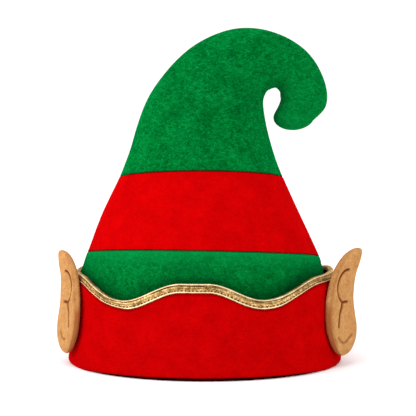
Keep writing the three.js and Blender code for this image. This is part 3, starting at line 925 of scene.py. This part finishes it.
class Nodes:
    """A material's node tree, with short calls for the nodes that the cloths share."""

    def __init__(self, name):
        self.material = bpy.data.materials.new(name)
        self.material.use_nodes = True
        self.tree = self.material.node_tree
        self.shader = self.tree.nodes["Principled BSDF"]
        self.place = self.add("ShaderNodeTexCoord").outputs["Object"]

    def add(self, kind, **settings):
        node = self.tree.nodes.new(kind)
        for key, value in settings.items():
            setattr(node, key, value)
        return node

    def link(self, source, target):
        self.tree.links.new(source, target)

    def set(self, **sockets):
        for key, value in sockets.items():
            self.shader.inputs[key.replace("_", " ")].default_value = value

    def noise(self, size, detail=3, roughness=0.55, distortion=0, stretch=(1, 1, 1)):
        """Noise whose blotches are about size metres across."""
        mapping = self.add("ShaderNodeMapping")
        mapping.inputs["Scale"].default_value = [1 / part for part in stretch]
        self.link(self.place, mapping.inputs["Vector"])
        noise = self.add("ShaderNodeTexNoise")
        noise.inputs["Scale"].default_value = 1 / size
        noise.inputs["Detail"].default_value = detail
        noise.inputs["Roughness"].default_value = roughness
        noise.inputs["Distortion"].default_value = distortion
        self.link(mapping.outputs["Vector"], noise.inputs["Vector"])
        return noise.outputs["Fac"]

    def math(self, operation, first, second=None, third=None):
        node = self.add("ShaderNodeMath", operation=operation)
        for socket, value in zip(node.inputs, (first, second, third)):
            if isinstance(value, (int, float)):
                socket.default_value = value
            elif value is not None:
                self.link(value, socket)
        return node.outputs[0]

    def ramp(self, factor, stops):
        ramp = self.add("ShaderNodeValToRGB")
        elements = ramp.color_ramp.elements
        while len(elements) < len(stops):
            elements.new(0.5)
        for element, (place, colour) in zip(elements, stops):
            element.position = place
            element.color = (*colour, 1)
        self.link(factor, ramp.inputs["Fac"])
        return ramp.outputs["Color"]

    def mix(self, factor, tone, colour):
        """The tone where the factor is 0, turning to the colour where it is 1."""
        node = self.add("ShaderNodeMix", data_type="RGBA")
        self.link(factor, node.inputs[0])
        self.link(tone, node.inputs[6])
        node.inputs[7].default_value = (*colour, 1)
        return node.outputs[2]

    def attribute(self, name):
        return self.add("ShaderNodeAttribute", attribute_name=name).outputs["Fac"]

    def bump(self, height, depth, strength):
        bump = self.add("ShaderNodeBump")
        bump.inputs["Strength"].default_value = strength
        bump.inputs["Distance"].default_value = depth
        self.link(height, bump.inputs["Height"])
        self.link(bump.outputs["Normal"], self.shader.inputs["Normal"])


def fleece(name, deep, tones, pale, sheen, contrast, shares):
    """Brushed fleece: soft clumps of pile with fine fibres over them, and a slow change of nap.
    deep is the tone of its painted shade, pale the tone of its painted light, and shares how much
    of the pile is patches, clumps, tufts and fibres."""
    nodes = Nodes(name)
    patches = nodes.noise(16 * MM, detail=2, roughness=0.5)
    clumps = nodes.noise(4.5 * MM, detail=4, roughness=0.7, distortion=0.7, stretch=(1, 1, 0.8))
    tufts = nodes.noise(1.9 * MM, detail=3, roughness=0.75, distortion=1.0, stretch=(1.5, 1.5, 0.8))
    fibres = nodes.noise(0.6 * MM, detail=2, roughness=0.7, distortion=1.2, stretch=(2.2, 2.2, 0.8))
    pile = nodes.math("MULTIPLY", patches, shares[0])
    for noise, share in zip((clumps, tufts, fibres), shares[1:]):
        pile = nodes.math("MULTIPLY_ADD", noise, share, pile)
    dark, middle, light = tones
    tone = nodes.ramp(pile, ((0.5 - contrast, dark), (0.5, middle), (0.5 + contrast, light)))
    # Painted light, then painted shade, from the pieces' attributes
    tone = nodes.mix(nodes.attribute("painted_light"), tone, pale)
    tone = nodes.mix(nodes.attribute("painted_shade"), tone, deep)
    nodes.link(tone, nodes.shader.inputs["Base Color"])
    nodes.set(Roughness=0.95, Sheen_Weight=0.3, Sheen_Roughness=0.3)
    nodes.set(Specular_IOR_Level=0.0, Sheen_Tint=(*sheen, 1))
    nodes.bump(pile, 2.2 * MM, 0.7)
    return nodes.material


def felt(name):
    """Felt with fine wool fibres, brown thread where it is creased, and painted shade with a painted
    red reflection from the cuff on its side strip.
    """
    nodes = Nodes(name)
    patches = nodes.noise(9 * MM, detail=3, roughness=0.6)
    fibres = nodes.noise(1.1 * MM, detail=3, roughness=0.7, distortion=1.0, stretch=(1, 1, 1.8))
    wool = nodes.math("MULTIPLY_ADD", patches, 0.3, nodes.math("MULTIPLY", fibres, 0.7))
    tones = ((0.39, (0.35, 0.155, 0.045)), (0.5, (0.455, 0.22, 0.073)), (0.61, (0.53, 0.28, 0.11)))
    tone = nodes.ramp(wool, tones)
    # Painted shade and a painted red reflection from the cuff on the side strip
    strip = nodes.math("MULTIPLY", nodes.attribute("strip"), 0.9)
    tone = nodes.mix(strip, tone, (0.24, 0.062, 0.016))
    tone = nodes.mix(nodes.attribute("groove"), tone, (0.13, 0.02, 0.003))
    nodes.link(tone, nodes.shader.inputs["Base Color"])
    nodes.set(Roughness=0.95, Sheen_Weight=0.15, Sheen_Roughness=0.3)
    nodes.set(Specular_IOR_Level=0.05, Sheen_Tint=(1, 0.6, 0.3, 1))
    nodes.bump(wool, 1.0 * MM, 0.6)
    return nodes.material


def gold_ribbon(name):
    """Woven metallic ribbon with painted shade in its grooves and painted highlights on its rolled
    rims.
    """
    nodes = Nodes(name)
    threads = nodes.noise(0.9 * MM, detail=3, roughness=0.7, distortion=0.6)
    patches = nodes.noise(4 * MM, detail=3, roughness=0.6)
    weave = nodes.math("MULTIPLY_ADD", patches, 0.4, nodes.math("MULTIPLY", threads, 0.6))
    tones = ((0.4, (0.12, 0.05, 0.012)), (0.5, (0.5, 0.29, 0.09)), (0.6, (0.88, 0.64, 0.3)))
    tone = nodes.ramp(weave, tones)
    # Painted highlights on the rims, then painted shade in the grooves and brown thread in the
    # stitches
    tone = nodes.mix(nodes.attribute("painted_rim_highlight"), tone, (1.0, 0.85, 0.58))
    tone = nodes.mix(nodes.attribute("groove"), tone, (0.06, 0.025, 0.008))
    nodes.link(tone, nodes.shader.inputs["Base Color"])
    nodes.set(Roughness=0.45, Metallic=0.75, Specular_Tint=(1, 0.74, 0.42, 1))
    nodes.bump(weave, 0.4 * MM, 0.6)
    return nodes.material


# Stage


def build_stage():
    bpy.ops.mesh.primitive_plane_add(size=FLOOR_SIZE, location=(0, 0, 0))
    floor = bpy.context.object
    floor.name = "floor"
    material = bpy.data.materials.new("pale_floor")
    material.use_nodes = True
    shader = material.node_tree.nodes["Principled BSDF"]
    shader.inputs["Base Color"].default_value = (FLOOR_TONE, FLOOR_TONE, FLOOR_TONE, 1)
    shader.inputs["Roughness"].default_value = 0.9
    shader.inputs["Specular IOR Level"].default_value = 0
    floor.data.materials.append(material)


def area_light(name, place, aim, size, power):
    light = bpy.data.lights.new(name, "AREA")
    light.shape = "DISK"
    light.size = size
    light.energy = power
    lamp = bpy.data.objects.new(name, light)
    lamp.location = place
    lamp.rotation_euler = (Vector(aim) - Vector(place)).to_track_quat("-Z", "Y").to_euler()
    bpy.context.collection.objects.link(lamp)


def build_light():
    world = bpy.data.worlds.new("studio")
    world.use_nodes = True
    background = world.node_tree.nodes["Background"]
    background.inputs["Color"].default_value = (1, 1, 1, 1)
    background.inputs["Strength"].default_value = SKY_STRENGTH
    bpy.context.scene.world = world
    for lamp in LAMPS:
        area_light(*lamp)
    bpy.context.scene.view_settings.view_transform = "Standard"


def build_camera():
    base = Vector((CENTRE_X, 0, 0))
    data = bpy.data.cameras.new("camera")
    data.lens = CAMERA_LENS
    data.sensor_width = CAMERA_SENSOR
    camera = bpy.data.objects.new("camera", data)
    camera.location = base + CAMERA_PLACE
    camera.rotation_euler = (CAMERA_AIM - CAMERA_PLACE).to_track_quat("-Z", "Y").to_euler()
    bpy.context.collection.objects.link(camera)
    bpy.context.scene.camera = camera


build_camera()
build_stage()
build_light()

green = fleece(
    "green_fleece",
    deep=(0.0, 0.018, 0.004),
    tones=((0.0, 0.056, 0.009), (0.0003, 0.122, 0.0185), (0.0015, 0.214, 0.038)),
    pale=(0.002, 0.24, 0.05),
    sheen=(0, 0.8, 0.2),
    contrast=0.085,
    shares=(0.12, 0.24, 0.38, 0.26),
)
red = fleece(
    "red_fleece",
    deep=(0.03, 0.0005, 0.0005),
    tones=((0.34, 0.0, 0.0005), (0.435, 0.0003, 0.0008), (0.54, 0.0006, 0.001)),
    pale=(0.55, 0.001, 0.002),
    sheen=(1, 0.02, 0.02),
    contrast=0.16,
    shares=(0.3, 0.32, 0.26, 0.12),
)
tan = felt("tan_felt")
gold = gold_ribbon("gold_ribbon")

build_crown(green, red)
build_cuff(red)
build_trim(gold)
build_stitches(gold)
build_ear("left_ear_felt", "left_ear", -1, LEFT_EAR, LEFT_LOWEST_CREASE, tan)
build_ear("right_ear_felt", "right_ear", 1, RIGHT_EAR, RIGHT_LOWEST_CREASE, tan)
